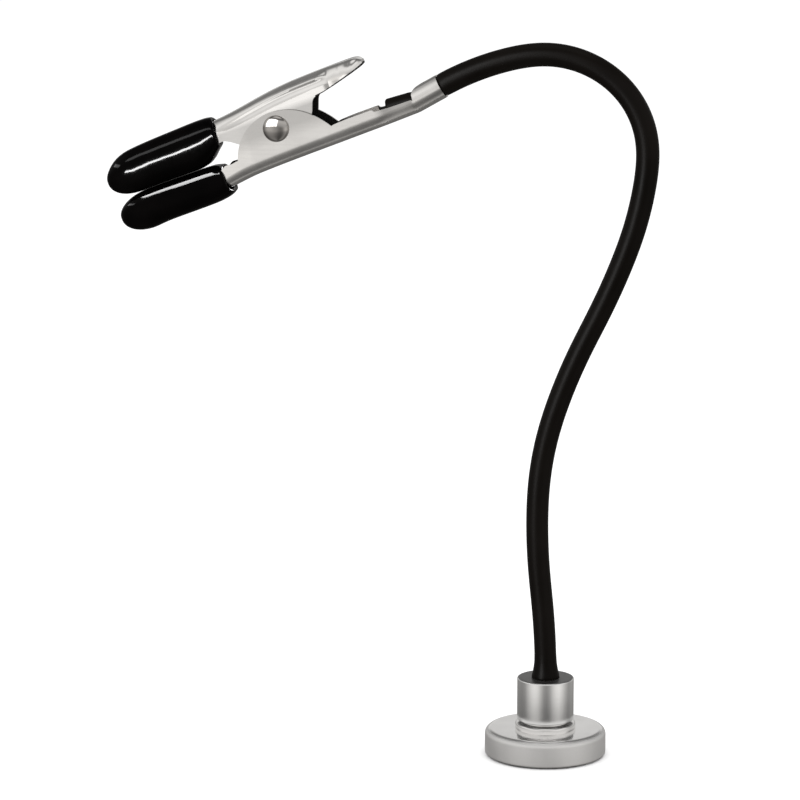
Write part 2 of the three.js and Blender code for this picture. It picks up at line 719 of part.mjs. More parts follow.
addToClip("upper_jaw_cap", jawCap({
  top: [[-42, 6.7], [-30, 7.9], [-20, 8.5], [-16.5, 8.3]],
  bottom: [[-42, -3.75], [-24, -3.7], [-20, -2.6], [-16.5, 0]],
  rear: -16.5,
  shoulder: -40,
  nose: -49.3,
  noseHeight: 1.2,
  rearHalf: 5.1,
  noseHalf: 4.6,
  corners: UPPER_CAP_CORNERS,
}), BLACK_VINYL);

addToClip("lower_jaw_cap", jawCap({
  top: [[-42, -3.85], [-22, -3.85], [-18, -4.3]],
  bottom: [[-42, -14.2], [-36, -13.7], [-23, -13.5], [-18, -12]],
  rear: -18,
  shoulder: -41,
  nose: -49.2,
  noseHeight: -9.2,
  rearHalf: 5.7,
  noseHalf: 4.9,
  corners: LOWER_CAP_CORNERS,
}), BLACK_VINYL);

export default group;
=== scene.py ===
import json
from math import atan2, cos, pi, radians, sin, sqrt

import bmesh
import bpy
import numpy as np
from mathutils import Matrix, Vector

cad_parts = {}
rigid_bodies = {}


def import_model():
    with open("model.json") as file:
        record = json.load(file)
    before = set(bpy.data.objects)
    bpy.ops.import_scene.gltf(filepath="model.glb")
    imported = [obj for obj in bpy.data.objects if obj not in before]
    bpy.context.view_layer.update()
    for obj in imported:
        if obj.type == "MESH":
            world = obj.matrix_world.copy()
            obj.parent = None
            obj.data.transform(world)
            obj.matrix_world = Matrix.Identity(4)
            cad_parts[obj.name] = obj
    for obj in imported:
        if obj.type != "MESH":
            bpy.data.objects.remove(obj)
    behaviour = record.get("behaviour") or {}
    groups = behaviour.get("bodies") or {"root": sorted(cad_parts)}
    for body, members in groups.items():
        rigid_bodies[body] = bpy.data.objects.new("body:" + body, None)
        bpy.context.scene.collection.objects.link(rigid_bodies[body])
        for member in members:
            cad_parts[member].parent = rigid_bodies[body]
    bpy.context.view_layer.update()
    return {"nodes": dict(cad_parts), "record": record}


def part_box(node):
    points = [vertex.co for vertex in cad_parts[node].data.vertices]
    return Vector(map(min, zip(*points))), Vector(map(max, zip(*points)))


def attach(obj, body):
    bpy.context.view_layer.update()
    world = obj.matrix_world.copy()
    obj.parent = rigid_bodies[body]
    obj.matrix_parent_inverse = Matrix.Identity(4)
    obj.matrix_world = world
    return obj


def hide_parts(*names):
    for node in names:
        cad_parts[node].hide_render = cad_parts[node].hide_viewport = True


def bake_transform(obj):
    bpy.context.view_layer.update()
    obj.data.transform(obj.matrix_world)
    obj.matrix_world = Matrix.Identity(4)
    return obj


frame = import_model()
MM = 0.001

# ---------- places taken from the frame ----------
JOINTS = {j["name"]: j for j in frame["record"]["behaviour"]["joints"]}
CUP_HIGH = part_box("magnet_cup")[1]
COLLAR_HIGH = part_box("collar")[1]
RING_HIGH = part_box("neck_ring")[1]
RIVET = Vector(JOINTS["clip_open"]["pos_m"])

CLIP_PITCH = radians(20.5)
BARREL_RISE = radians(9.5)
BARREL_END = (44.2, -4.05)
BARREL_LENGTH = 8.0


def clip_point(x, y, z):
    """From the clip's own frame (mm, rivet at the origin, barrel toward +X) to the stand's, in metres."""
    return Vector((
        RIVET.x + (x * cos(CLIP_PITCH) - z * sin(CLIP_PITCH)) * MM,
        y * MM,
        RIVET.z + (x * sin(CLIP_PITCH) + z * cos(CLIP_PITCH)) * MM,
    ))


# ---------- mesh helpers ----------

def new_object(name, verts, faces, body, slot_name, material, replaced, smooth_angle=35.0):
    """Makes a piece that rides on a body, with edges sharper than smooth_angle kept sharp."""
    mesh = bpy.data.meshes.new(name)
    mesh.from_pydata([tuple(v) for v in verts], [], faces)
    mesh.validate()
    bm = bmesh.new()
    bm.from_mesh(mesh)
    bmesh.ops.remove_doubles(bm, verts=bm.verts, dist=1e-7)
    bmesh.ops.recalc_face_normals(bm, faces=bm.faces)
    for face in bm.faces:
        face.smooth = True
    limit = radians(smooth_angle)
    for edge in bm.edges:
        if len(edge.link_faces) == 2 and edge.calc_face_angle(0.0) > limit:
            edge.smooth = False
    bm.to_mesh(mesh)
    bm.free()
    obj = bpy.data.objects.new(name, mesh)
    bpy.context.scene.collection.objects.link(obj)
    obj.data.materials.append(material)
    if replaced:
        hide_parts(*replaced)
    if body:
        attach(obj, body)
    return obj


def ring_faces(first, second, sides, closed=True):
    last = sides if closed else sides - 1
    return [(first + j, first + (j + 1) % sides, second + (j + 1) % sides, second + j) for j in range(last)]


def skin(rings, loop=False, cap_start=False, cap_end=False):
    """Vertices and faces of a run of equal closed rings."""
    sides = len(rings[0])
    verts = [v for ring in rings for v in ring]
    faces = []
    rows = len(rings) if loop else len(rings) - 1
    for i in range(rows):
        faces += ring_faces(i * sides, ((i + 1) % len(rings)) * sides, sides)
    for wanted, start in ((cap_start, 0), (cap_end, (len(rings) - 1) * sides)):
        if wanted:
            centre = sum((Vector(v) for v in rings[start // sides]), Vector()) / sides
            verts.append(centre)
            faces += [(start + j, start + (j + 1) % sides, len(verts) - 1) for j in range(sides)]
    return verts, faces


def lathe(outline, segments=128, closed=True):
    """Turns an outline of (radius, height) points in metres about Z. Points on the axis become one vertex."""
    verts, faces, rows = [], [], []
    for r, z in outline:
        if r < 1e-9:
            verts.append((0.0, 0.0, z))
            rows.append([len(verts) - 1] * segments)
            continue
        start = len(verts)
        for k in range(segments):
            a = 2 * pi * k / segments
            verts.append((r * cos(a), r * sin(a), z))
        rows.append(list(range(start, start + segments)))
    pairs = list(zip(rows, rows[1:])) + ([(rows[-1], rows[0])] if closed else [])
    for a, b in pairs:
        for k in range(segments):
            n = (k + 1) % segments
            corner = [a[k], a[n], b[n], b[k]]
            face = [v for i, v in enumerate(corner) if v != corner[i - 1]]
            if len(set(face)) > 2:
                faces.append(tuple(dict.fromkeys(face)))
    return verts, faces


def corner(r, z, radius, a0, a1, steps=8):
    """Points of a rounded edge about (r, z), in mm and degrees."""
    angles = [radians(a0 + (a1 - a0) * k / steps) for k in range(steps + 1)]
    return [(r + radius * cos(a), z + radius * sin(a)) for a in angles]


def millimetres(outline):
    return [(r * MM, z * MM) for r, z in outline]


def smooth_line(stops):
    """A smooth curve through (x, value) stops that never overshoots them (monotone cubic)."""
    xs = np.array([p[0] for p in stops], float)
    ys = np.array([p[1] for p in stops], float)
    h = np.diff(xs)
    d = np.diff(ys) / h
    m = np.zeros_like(ys)
    m[0], m[-1] = d[0], d[-1]
    for i in range(1, len(xs) - 1):
        if d[i - 1] * d[i] > 0:
            w1, w2 = 2 * h[i] + h[i - 1], h[i] + 2 * h[i - 1]
            m[i] = (w1 + w2) / (w1 / d[i - 1] + w2 / d[i])

    def value(x):
        if x <= xs[0]:
            return float(ys[0])
        if x >= xs[-1]:
            return float(ys[-1])
        i = int(np.searchsorted(xs, x) - 1)
        t = (x - xs[i]) / h[i]
        a, b = 2 * t**3 - 3 * t**2 + 1, t**3 - 2 * t**2 + t
        c, e = -2 * t**3 + 3 * t**2, t**3 - t**2
        return float(a * ys[i] + b * h[i] * m[i] + c * ys[i + 1] + e * h[i] * m[i + 1])

    return value


def eased(line, reach, steps=12):
    """The same curve with its bends drawn out over a distance of reach on either side."""
    offsets = [reach * k / steps for k in range(-steps, steps + 1)]
    weights = [1 + cos(pi * k / (steps + 1)) for k in range(-steps, steps + 1)]
    total = sum(weights)
    return lambda x: sum(w * line(x + d) for w, d in zip(weights, offsets)) / total


def straight_line(stops):
    xs, ys = zip(*stops)
    return lambda x: float(np.interp(x, xs, ys))


def bevel(obj, width, segments=2, angle=40.0):
    """Rounds the sharp edges a little."""
    mod = obj.modifiers.new("edge_round", "BEVEL")
    mod.width = width
    mod.segments = segments
    mod.limit_method = "ANGLE"
    mod.angle_limit = radians(angle)
    mod.harden_normals = False
    return mod


# ---------- materials ----------

class Shader:
    """A small helper that wires up one procedural material."""

    def __init__(self, name):
        self.material = bpy.data.materials.new(name)
        self.material.use_nodes = True
        self.tree = self.material.node_tree
        self.nodes = self.tree.nodes
        self.bsdf = self.nodes["Principled BSDF"]
        self.coords = self.nodes.new("ShaderNodeTexCoord").outputs["Object"]

    def link(self, a, b):
        self.tree.links.new(a, b)

    def set(self, **values):
        for key, value in values.items():
            self.bsdf.inputs[key.replace("_", " ")].default_value = value

    def mapped(self, scale=(1, 1, 1), rotation=(0, 0, 0)):
        node = self.nodes.new("ShaderNodeMapping")
        node.inputs["Scale"].default_value = scale
        node.inputs["Rotation"].default_value = rotation
        self.link(self.coords, node.inputs["Vector"])
        return node.outputs["Vector"]

    def noise(self, scale, detail=4.0, roughness=0.55, vector=None, distortion=0.0):
        node = self.nodes.new("ShaderNodeTexNoise")
        node.inputs["Scale"].default_value = scale
        node.inputs["Detail"].default_value = detail
        node.inputs["Roughness"].default_value = roughness
        node.inputs["Distortion"].default_value = distortion
        self.link(vector if vector is not None else self.coords, node.inputs["Vector"])
        return node.outputs["Fac"]

    def remap(self, value, low, high, from_low=0.3, from_high=0.7):
        node = self.nodes.new("ShaderNodeMapRange")
        node.inputs["From Min"].default_value = from_low
        node.inputs["From Max"].default_value = from_high
        node.inputs["To Min"].default_value = low
        node.inputs["To Max"].default_value = high
        self.link(value, node.inputs["Value"])
        return node.outputs["Result"]

    def ramp(self, value, low, high, from_low=0.3, from_high=0.7):
        """A colour between low and high."""
        node = self.nodes.new("ShaderNodeValToRGB")
        node.color_ramp.elements[0].position = from_low
        node.color_ramp.elements[1].position = from_high
        node.color_ramp.elements[0].color = (*low, 1)
        node.color_ramp.elements[1].color = (*high, 1)
        self.link(value, node.inputs["Fac"])
        return node.outputs["Color"]

    def math(self, operation, a, b):
        node = self.nodes.new("ShaderNodeMath")
        node.operation = operation
        for i, v in enumerate((a, b)):
            if isinstance(v, (int, float)):
                node.inputs[i].default_value = v
            else:
                self.link(v, node.inputs[i])
        return node.outputs["Value"]

    def bump(self, height, distance, strength=1.0):
        node = self.nodes.new("ShaderNodeBump")
        node.inputs["Strength"].default_value = strength
        node.inputs["Distance"].default_value = distance
        self.link(height, node.inputs["Height"])
        self.link(node.outputs["Normal"], self.bsdf.inputs["Normal"])

    def colour(self, socket):
        self.link(socket, self.bsdf.inputs["Base Color"])

    def rough(self, socket):
        self.link(socket, self.bsdf.inputs["Roughness"])


def radius_socket(s):
    """Distance from the Z axis."""
    split = s.nodes.new("ShaderNodeSeparateXYZ")
    s.link(s.coords, split.inputs["Vector"])
    x2 = s.math("MULTIPLY", split.outputs["X"], split.outputs["X"])
    y2 = s.math("MULTIPLY", split.outputs["Y"], split.outputs["Y"])
    return s.math("SQRT", s.math("ADD", x2, y2), 0.0), split.outputs["Z"]


def sleeve_material():
    s = Shader("sleeve_pvc")
    fine = s.noise(2600, 5.0, 0.6)
    broad = s.noise(60, 3.0, 0.5)
    s.colour(s.ramp(broad, (0.0022, 0.0014, 0.0008), (0.0045, 0.0032, 0.0024)))
    s.rough(s.remap(s.math("ADD", s.math("MULTIPLY", fine, 0.5), s.math("MULTIPLY", broad, 0.5)), 0.32, 0.46))
    s.set(Specular_IOR_Level=0.07)
    s.bump(fine, 0.00002, 0.6)
    return s.material


def vinyl_material():
    s = Shader("black_vinyl")
    wave = s.noise(120, 2.0, 0.5)
    fine = s.noise(1500, 4.0, 0.6)
    s.colour(s.ramp(wave, (0.0006, 0.0005, 0.0005), (0.0014, 0.0011, 0.0011)))
    s.rough(s.remap(fine, 0.06, 0.10))
    s.set(Specular_IOR_Level=0.024)
    s.bump(s.math("ADD", s.math("MULTIPLY", wave, 1.0), s.math("MULTIPLY", fine, 0.004)), 0.00025, 0.3)
    return s.material


def plated_material(name, base, low, high, streak_rotation=0.0, painted_shade=None):
    """Plated sheet with fine streaks.

    The last argument is (from, to, share), a painted shade: between two heights across the streaks, the tone
    falls to share of base.
    """
    s = Shader(name)
    along_sheet = s.mapped((60, 2600, 2600), (0, streak_rotation, 0))
    streaks = s.noise(1.0, 3.0, 0.6, along_sheet)
    cloud = s.noise(90, 4.0, 0.6)
    pits = s.noise(4200, 3.0, 0.6)
    dark = tuple(c * 0.86 for c in base)
    tone = s.ramp(cloud, dark, base)
    # Painted shade: the tone darkens between two heights on the clip, standing in for light falling off.
    if painted_shade:
        split = s.nodes.new("ShaderNodeSeparateXYZ")
        s.link(s.mapped((1, 1, 1), (0, streak_rotation, 0)), split.inputs["Vector"])
        painted_shade_mix = s.nodes.new("ShaderNodeMix")
        painted_shade_mix.data_type = "RGBA"
        s.link(s.remap(split.outputs["Z"], 0.0, 1.0, painted_shade[0], painted_shade[1]), painted_shade_mix.inputs["Factor"])
        s.link(tone, painted_shade_mix.inputs["A"])
        painted_shade_mix.inputs["B"].default_value = (*(c * painted_shade[2] for c in base), 1)
        tone = painted_shade_mix.outputs["Result"]
    s.colour(tone)
    uneven = s.math("ADD", s.math("MULTIPLY", streaks, 0.6), s.math("MULTIPLY", cloud, 0.4))
    s.rough(s.remap(uneven, low, high))
    s.set(Metallic=1.0)
    s.bump(s.math("ADD", s.math("MULTIPLY", streaks, 0.5), s.math("MULTIPLY", pits, 0.5)), 0.000012, 0.5)
    return s.material


def turned_material(name, base, side_rough, top_rough, painted_top_share=1.0):
    """Turned metal: fine rings round the axis; flat faces turned upward have their own roughness, and their
    tone falls to a given share of base as painted shade; faces turned downward are darkened as painted shade.
    """
    s = Shader(name)
    radius, height = radius_socket(s)
    lines = s.nodes.new("ShaderNodeCombineXYZ")
    s.link(s.math("MULTIPLY", radius, 9000.0), lines.inputs["X"])
    s.link(s.math("MULTIPLY", height, 9000.0), lines.inputs["Y"])
    rings = s.noise(1.0, 3.0, 0.6, lines.outputs["Vector"])
    cloud = s.noise(140, 4.0, 0.6)
    dark = tuple(c * 0.9 for c in base)
    geometry = s.nodes.new("ShaderNodeNewGeometry")
    split = s.nodes.new("ShaderNodeSeparateXYZ")
    s.link(geometry.outputs["Normal"], split.inputs["Vector"])
    worn = s.ramp(s.math("ADD", s.math("MULTIPLY", rings, 0.4), s.math("MULTIPLY", cloud, 0.6)), dark, base)
    # Painted shade: faces turned upward fall to a share of the base tone.
    painted_top_shade = s.nodes.new("ShaderNodeMix")
    painted_top_shade.data_type = "RGBA"
    s.link(s.remap(split.outputs["Z"], 0.0, 1.0, 0.7, 0.98), painted_top_shade.inputs["Factor"])
    s.link(worn, painted_top_shade.inputs["A"])
    painted_top_shade.inputs["B"].default_value = (*(c * painted_top_share for c in base), 1)
    # Painted shade: faces turned downward darken to 0.16 of the base tone.
    painted_underside_shade = s.nodes.new("ShaderNodeMix")
    painted_underside_shade.data_type = "RGBA"
    s.link(s.remap(split.outputs["Z"], 1.0, 0.0, -0.9, -0.4), painted_underside_shade.inputs["Factor"])
    s.link(painted_top_shade.outputs["Result"], painted_underside_shade.inputs["A"])
    painted_underside_shade.inputs["B"].default_value = (*(c * 0.16 for c in base), 1)
    s.colour(painted_underside_shade.outputs["Result"])
    upward = s.remap(split.outputs["Z"], side_rough, top_rough, 0.75, 0.97)
    s.rough(s.math("ADD", upward, s.remap(cloud, -0.03, 0.05)))
    s.set(Metallic=1.0)
    s.bump(rings, 0.000008, 0.5)
    return s.material


def grain_material(name, low, high, rough_low, rough_high, metallic=0.0, scale=1800, depth=0.00004):
    s = Shader(name)
    grain = s.noise(scale, 6.0, 0.65)
    broad = s.noise(120, 3.0, 0.5)
    s.colour(s.ramp(s.math("ADD", s.math("MULTIPLY", grain, 0.5), s.math("MULTIPLY", broad, 0.5)), low, high))
    s.rough(s.remap(grain, rough_low, rough_high))
    s.set(Metallic=metallic)
    s.bump(grain, depth, 0.6)
    return s.material


NICKEL = (0.93, 0.915, 0.895)
MATERIALS = {
    "sleeve_pvc": sleeve_material(),
    "black_vinyl": vinyl_material(),
    "plated_steel": plated_material("plated_steel", NICKEL, 0.14, 0.22, CLIP_PITCH),
    "polished_metal": plated_material("polished_metal", (0.88, 0.87, 0.86), 0.05, 0.1),
    "spring_steel": plated_material("spring_steel", (0.5, 0.49, 0.47), 0.22, 0.34),
    "turned_metal": turned_material("turned_metal", (0.93, 0.925, 0.92), 0.55, 0.12, 0.97),
    "ferrite": grain_material("ferrite", (0.035, 0.034, 0.034), (0.075, 0.073, 0.072), 0.55, 0.8),
    "potting_resin": grain_material("potting_resin", (0.012, 0.012, 0.013), (0.03, 0.03, 0.032), 0.45, 0.7),
    "black_steel": grain_material("black_steel", (0.02, 0.02, 0.022), (0.05, 0.05, 0.052), 0.3, 0.5, 1.0),
    "gooseneck_steel": grain_material(
        "gooseneck_steel", (0.3, 0.295, 0.29), (0.46, 0.45, 0.44), 0.3, 0.5, 1.0,
    ),
}
# The collar's upward faces carry painted shade at 0.3 of its base tone.
COLLAR_METAL = turned_material("collar_metal", (0.88, 0.88, 0.88), 0.14, 0.4, 0.3)
RING_METAL = turned_material("ring_metal", (0.88, 0.87, 0.86), 0.1, 0.12)
PIVOT_HEIGHT = RIVET.z * cos(CLIP_PITCH) - RIVET.x * sin(CLIP_PITCH)
# Painted shade by height on the clip: the lower jaw darkens toward its top near the rivet, and the upper jaw
# darkens on its side below about 3 mm above the rivet.
LOWER_PAINTED_SHADE = (PIVOT_HEIGHT - 3.6 * MM, PIVOT_HEIGHT - 0.4 * MM, 0.7)
UPPER_PAINTED_SHADE = (PIVOT_HEIGHT + 4.9 * MM, PIVOT_HEIGHT + 3.1 * MM, 0.56)
LOWER_STEEL = plated_material("lower_steel", NICKEL, 0.16, 0.25, CLIP_PITCH, LOWER_PAINTED_SHADE)
UPPER_STEEL = plated_material("upper_steel", NICKEL, 0.12, 0.2, CLIP_PITCH, UPPER_PAINTED_SHADE)
RIVET_METAL = plated_material("rivet_metal", (0.47, 0.45, 0.43), 0.06, 0.1)
# Near-black steel put on the jaws' inner wall faces and the pad's lower edge as painted shade.
PAINTED_SHADE_STEEL = grain_material("painted_shade_steel", (0.012, 0.011, 0.011), (0.03, 0.028, 0.026), 0.35, 0.5, 0.6)
SLOTS = {s["node"]: s["material_slot"] for s in frame["record"]["subparts"]}
for node, obj in frame["nodes"].items():
    obj.data.materials.clear()
    obj.data.materials.append(MATERIALS[SLOTS[node]])


# ---------- foot ----------

def turned_piece(name, node, outline, material=None):
    verts, faces = lathe(millimetres(outline))
    finish = material or MATERIALS[SLOTS[node]]
    return new_object(name, verts, faces, "foot", SLOTS[node], finish, [node], 40.0)


CUP_R = CUP_HIGH.x / MM
CUP_H = CUP_HIGH.z / MM
MAGNET_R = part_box("disc_magnet")[1].x / MM
SPACER_IN = MAGNET_R + 0.1
CAVITY_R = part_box("magnet_spacer")[1].x / MM + 0.1
STUD_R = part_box("base_stud")[1].x / MM
BORE = STUD_R + 0.1
ROOF_UNDER = CUP_H - 2.0
CUP_EDGE = 1.6
CUP_FOOT_EDGE = 0.8

turned_piece("foot_cup", "magnet_cup", [
    (CAVITY_R, 0.15), (CAVITY_R + 0.15, 0),
    *corner(CUP_R - CUP_FOOT_EDGE, CUP_FOOT_EDGE, CUP_FOOT_EDGE, -90, 0, 8),
    *corner(CUP_R - CUP_EDGE, CUP_H - CUP_EDGE, CUP_EDGE, 0, 90, 14),
    (CUP_R - CUP_EDGE - 0.5, CUP_H), (CUP_R - 4, CUP_H), (BORE + 0.3, CUP_H), (BORE, CUP_H - 0.3),
    (BORE, ROOF_UNDER), (CAVITY_R, ROOF_UNDER),
])
turned_piece("foot_magnet", "disc_magnet", [
    (0, 0), (MAGNET_R - 0.3, 0), (MAGNET_R, 0.3), (MAGNET_R, ROOF_UNDER - 0.1), (0, ROOF_UNDER - 0.1),
])
RING_TOP = RING_HIGH.z / MM
turned_piece("foot_neck_ring", "neck_ring", [
    (BORE, CUP_H), (7.95, CUP_H), (8.0, CUP_H + 0.3),
    *corner(7.3, CUP_H + 0.95, 0.7, 0, 80, 14),
    (7.0, CUP_H + 1.68), (6.5, CUP_H + 1.72), (6.4, CUP_H + 1.8), (6.4, RING_TOP), (BORE, RING_TOP),
], RING_METAL)
COLLAR_R = COLLAR_HIGH.x / MM
COLLAR_TOP = COLLAR_HIGH.z / MM
turned_piece("foot_collar", "collar", [
    (BORE, RING_TOP), (COLLAR_R - 0.35, RING_TOP),
    *corner(COLLAR_R - 0.25, RING_TOP + 0.25, 0.25, -80, 0, 4),
    *corner(COLLAR_R - 0.4, COLLAR_TOP - 0.4, 0.4, 0, 90, 6),
    (COLLAR_R - 1.2, COLLAR_TOP), (3.7, COLLAR_TOP), (3.6, COLLAR_TOP - 0.1),
    (3.6, 13.4), (BORE, 13.4),
], COLLAR_METAL)

# ---------- arm centre line ----------
pivots = [Vector((0, 0, COLLAR_HIGH.z))]
pivots += [Vector(JOINTS[f"arm_bend_{k:02d}"]["pos_m"]) for k in range(1, 9)]
pivots.append(clip_point(BARREL_END[0], 0, BARREL_END[1]))
bends, lean = [], 0.0
for a, b in zip(pivots, pivots[1:]):
    chord = atan2(-(b.x - a.x), b.z - a.z)
    bends.append(2 * (chord - lean))
    lean += bends[-1]
end_lean = lean
lengths = [(b - a).length * (t / 2) / sin(t / 2) for a, b, t in zip(pivots, pivots[1:], bends)]
ARM = sum(lengths)

STEP = 0.5 * MM
BEND_BLEND = 10 * MM
samples = int(ARM / STEP)
s_grid = np.linspace(0, ARM, samples + 1)
edges = np.cumsum([0] + lengths)
which = np.clip(np.searchsorted(edges, s_grid, side="right") - 1, 0, len(bends) - 1)
curvature = np.array(bends)[which] / np.array(lengths)[which]
WINDOW = int(BEND_BLEND / STEP)
padded = np.concatenate([curvature[:1].repeat(WINDOW), curvature, curvature[-1:].repeat(WINDOW)])
kernel = np.hanning(2 * WINDOW + 1)
curvature = np.convolve(padded, kernel / kernel.sum(), mode="valid")
ds = s_grid[1] - s_grid[0]
leans = np.concatenate([[0], np.cumsum((curvature[1:] + curvature[:-1]) / 2 * ds)])
leans += (end_lean - leans[-1]) * s_grid / ARM
mid = (leans[1:] + leans[:-1]) / 2
xs = np.concatenate([[0], np.cumsum(-np.sin(mid) * ds)])
zs = np.concatenate([[0], np.cumsum(np.cos(mid) * ds)]) + pivots[0].z
xs += (pivots[-1].x - xs[-1]) * (s_grid / ARM) ** 2
zs += (pivots[-1].z - zs[-1]) * (s_grid / ARM) ** 2

TAIL_TURN = (BARREL_LENGTH + 0.4) * MM
TAIL_LEAN = pi / 2 + CLIP_PITCH - radians(3)
TAIL = 15.6 * MM


def centre(s):
    """(x, z, lean) on the arm's centre line at s metres from the collar's top, and on through the barrel."""
    if s <= 0:
        return 0.0, pivots[0].z + s, 0.0
    if s <= ARM:
        return tuple(float(np.interp(s, s_grid, row)) for row in (xs, zs, leans))
    over = min(s - ARM, TAIL_TURN)
    x = pivots[-1].x - sin(end_lean) * over
    z = pivots[-1].z + cos(end_lean) * over
    lean_here = end_lean
    rest = s - ARM - over
    if rest > 0:
        x -= sin(TAIL_LEAN) * rest
        z += cos(TAIL_LEAN) * rest
        lean_here = TAIL_LEAN
    return x, z, lean_here


def tube_ring(s, radius, sides=48, squash=1.0):
    x, z, t = centre(s)
    ring = []
    for k in range(sides):
        a = 2 * pi * k / sides
        out = radius * cos(a)
        ring.append(Vector((x + out * cos(t), radius * sin(a) * squash, z + out * sin(t))))
    return ring


CUFF = smooth_line([
    (-7, 3.45), (-0.15, 3.5), (0.06, 3.68), (0.5, 3.66), (1.2, 3.5), (2.4, 3.24), (4.5, 2.98), (7.5, 2.9),
    (60, 2.95), (216, 3.1),
])
SQUEEZE = smooth_line([
    (-2.0, 3.1), (-0.6, 3.06), (-0.1, 2.85), (0.25, 2.46), (1, 2.42), (8.2, 2.42), (9.2, 2.55), (15.2, 2.56),
    (15.6, 2.3),
])


def sleeve_radius(s):
    mm = s / MM
    from_end = mm - ARM / MM
    return (SQUEEZE(from_end) if from_end > -2.0 else CUFF(mm)) * MM


def sleeve_stops(start, end):
    count = max(2, int(round((end - start) / 0.0006)))
    stops = [start + (end - start) * k / count for k in range(count + 1)]
    if start < 0:
        stops = sorted(set(stops) | {d * MM for d in (-0.3, -0.15, -0.05, 0.06, 0.2, 0.35)})
    if end > ARM:
        stops += [ARM + d * MM for d in (-0.5, -0.3, -0.1, 0.05, 0.15, 0.25, 15.3, 15.45, 15.6)]
        stops = sorted(s for s in set(stops) if s <= end)
    return stops


SLEEVE_BORE = 2.05 * MM
INNER_STRIDE = 4
middles = [float(edges[i] + lengths[i] / 2) for i in range(len(lengths))]
for k in range(1, 9):
    start = -7 * MM if k == 1 else middles[k - 1]
    end = ARM + TAIL if k == 8 else middles[k]
    stops = sleeve_stops(start, end)
    outside = [tube_ring(s, sleeve_radius(s)) for s in stops]
    inner_stops = stops[::INNER_STRIDE]
    if inner_stops[-1] != stops[-1]:
        inner_stops.append(stops[-1])
    inside = [tube_ring(s, SLEEVE_BORE) for s in inner_stops]
    verts, faces = skin(outside)
    base = len(verts)
    more, inner_faces = skin(inside)
    verts += more
    faces += [tuple(reversed([v + base for v in f])) for f in inner_faces]
    sides = len(outside[0])
    if k == 8:
        faces += ring_faces((len(outside) - 1) * sides, base + (len(inside) - 1) * sides, sides)
    if k == 1:
        faces += [tuple(reversed(f)) for f in ring_faces(0, base, sides)]
    replaced = [f"arm_sleeve_{k:02d}"] + (["arm_sleeve_09"] if k == 8 else [])
    piece = new_object(
        f"sleeve_bend_{k:02d}", verts, faces, None, "sleeve_pvc", MATERIALS["sleeve_pvc"], replaced, 50.0,
    )
    a, b = middles[k - 1], middles[k]
    p, q = centre(a + 1.5 * MM), centre(b - 1.5 * MM)
    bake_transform(piece)

# ---------- clip: bent sheet ----------
SHEET = 0.7
BEND_STEPS = 14
WALL_STEPS = 20


def half_section(half, bend, height, wrap, inset, bulge):
    """From the middle of the floor out to the wall's edge, as (y, h) in mm."""
    bend = min(bend, half - 0.05, height * 0.9 if not wrap else bend)
    centre_y = half - bend
    radius = max(bend - inset, 0.02)
    points = [(0.0, inset), (centre_y * 0.5, inset), (centre_y, inset)]
    for k in range(1, BEND_STEPS + 1):
        a = (pi / 2) * k / BEND_STEPS
        points.append((centre_y + radius * sin(a), bend - radius * cos(a)))
    for k in range(1, WALL_STEPS + 1):
        t = k / WALL_STEPS
        if wrap:
            a = pi / 2 + (wrap - pi / 2) * t
            points.append((centre_y + radius * sin(a), bend - radius * cos(a)))
        else:
            h = bend + (height - bend) * t
            points.append((half - inset + (bulge(h) if bulge else 0.0), h))
    if bulge and not wrap:
        bend_points = [(y + bulge(h), h) for y, h in points[3:3 + BEND_STEPS]]
        points = points[:3] + bend_points + points[3 + BEND_STEPS:]
    return points


def sheet_section(half, bend, height, wrap=None, bulge=None):
    outer = half_section(half, bend, height, wrap, 0.0, bulge)
    inner = half_section(half, bend, height, wrap, SHEET, bulge)

    def full(points):
        return [(-y, h) for y, h in reversed(points[1:])] + points

    return full(outer) + list(reversed(full(inner)))


def sheet_strip(rings):
    sides = len(rings[0])
    verts = [v for ring in rings for v in ring]
    faces = []
    for i in range(len(rings) - 1):
        faces += ring_faces(i * sides, (i + 1) * sides, sides)
    last = (len(rings) - 1) * sides
    for j in range(sides // 2 - 1):
        inner = sides - 1 - j
        faces.append((j, j + 1, inner - 1, inner))
        faces.append((last + j, last + inner, last + inner - 1, last + j + 1))
    return verts, faces


TEETH_START, TEETH_END, TEETH = -43.0, -22.0, 14
PITCH = (TEETH_END - TEETH_START) / TEETH


def toothed(x, tip, depth=1.0):
    phase = ((min(max(x, TEETH_START), TEETH_END) - TEETH_START) / PITCH) % 1
    return tip - depth * abs(2 * phase - 1)


def stops_between(low, high, step, extra=()):
    teeth = [TEETH_START + PITCH * k / 4 for k in range(4 * TEETH + 1)]
    plain = list(np.arange(TEETH_END, high, step))
    wanted = [v for v in [low, *teeth, *plain, high, *extra] if low <= v <= high]
    found = sorted({round(float(v), 4) for v in wanted})
    return [v for i, v in enumerate(found) if i == 0 or v - found[i - 1] > 0.02]


EAR_RADIUS, EAR_X, EAR_Z = 13.0, -0.3, -8.6


def quadratic(t, a, b, c):
    return (1 - t) ** 2 * a + 2 * t * (1 - t) * b + t * t * c


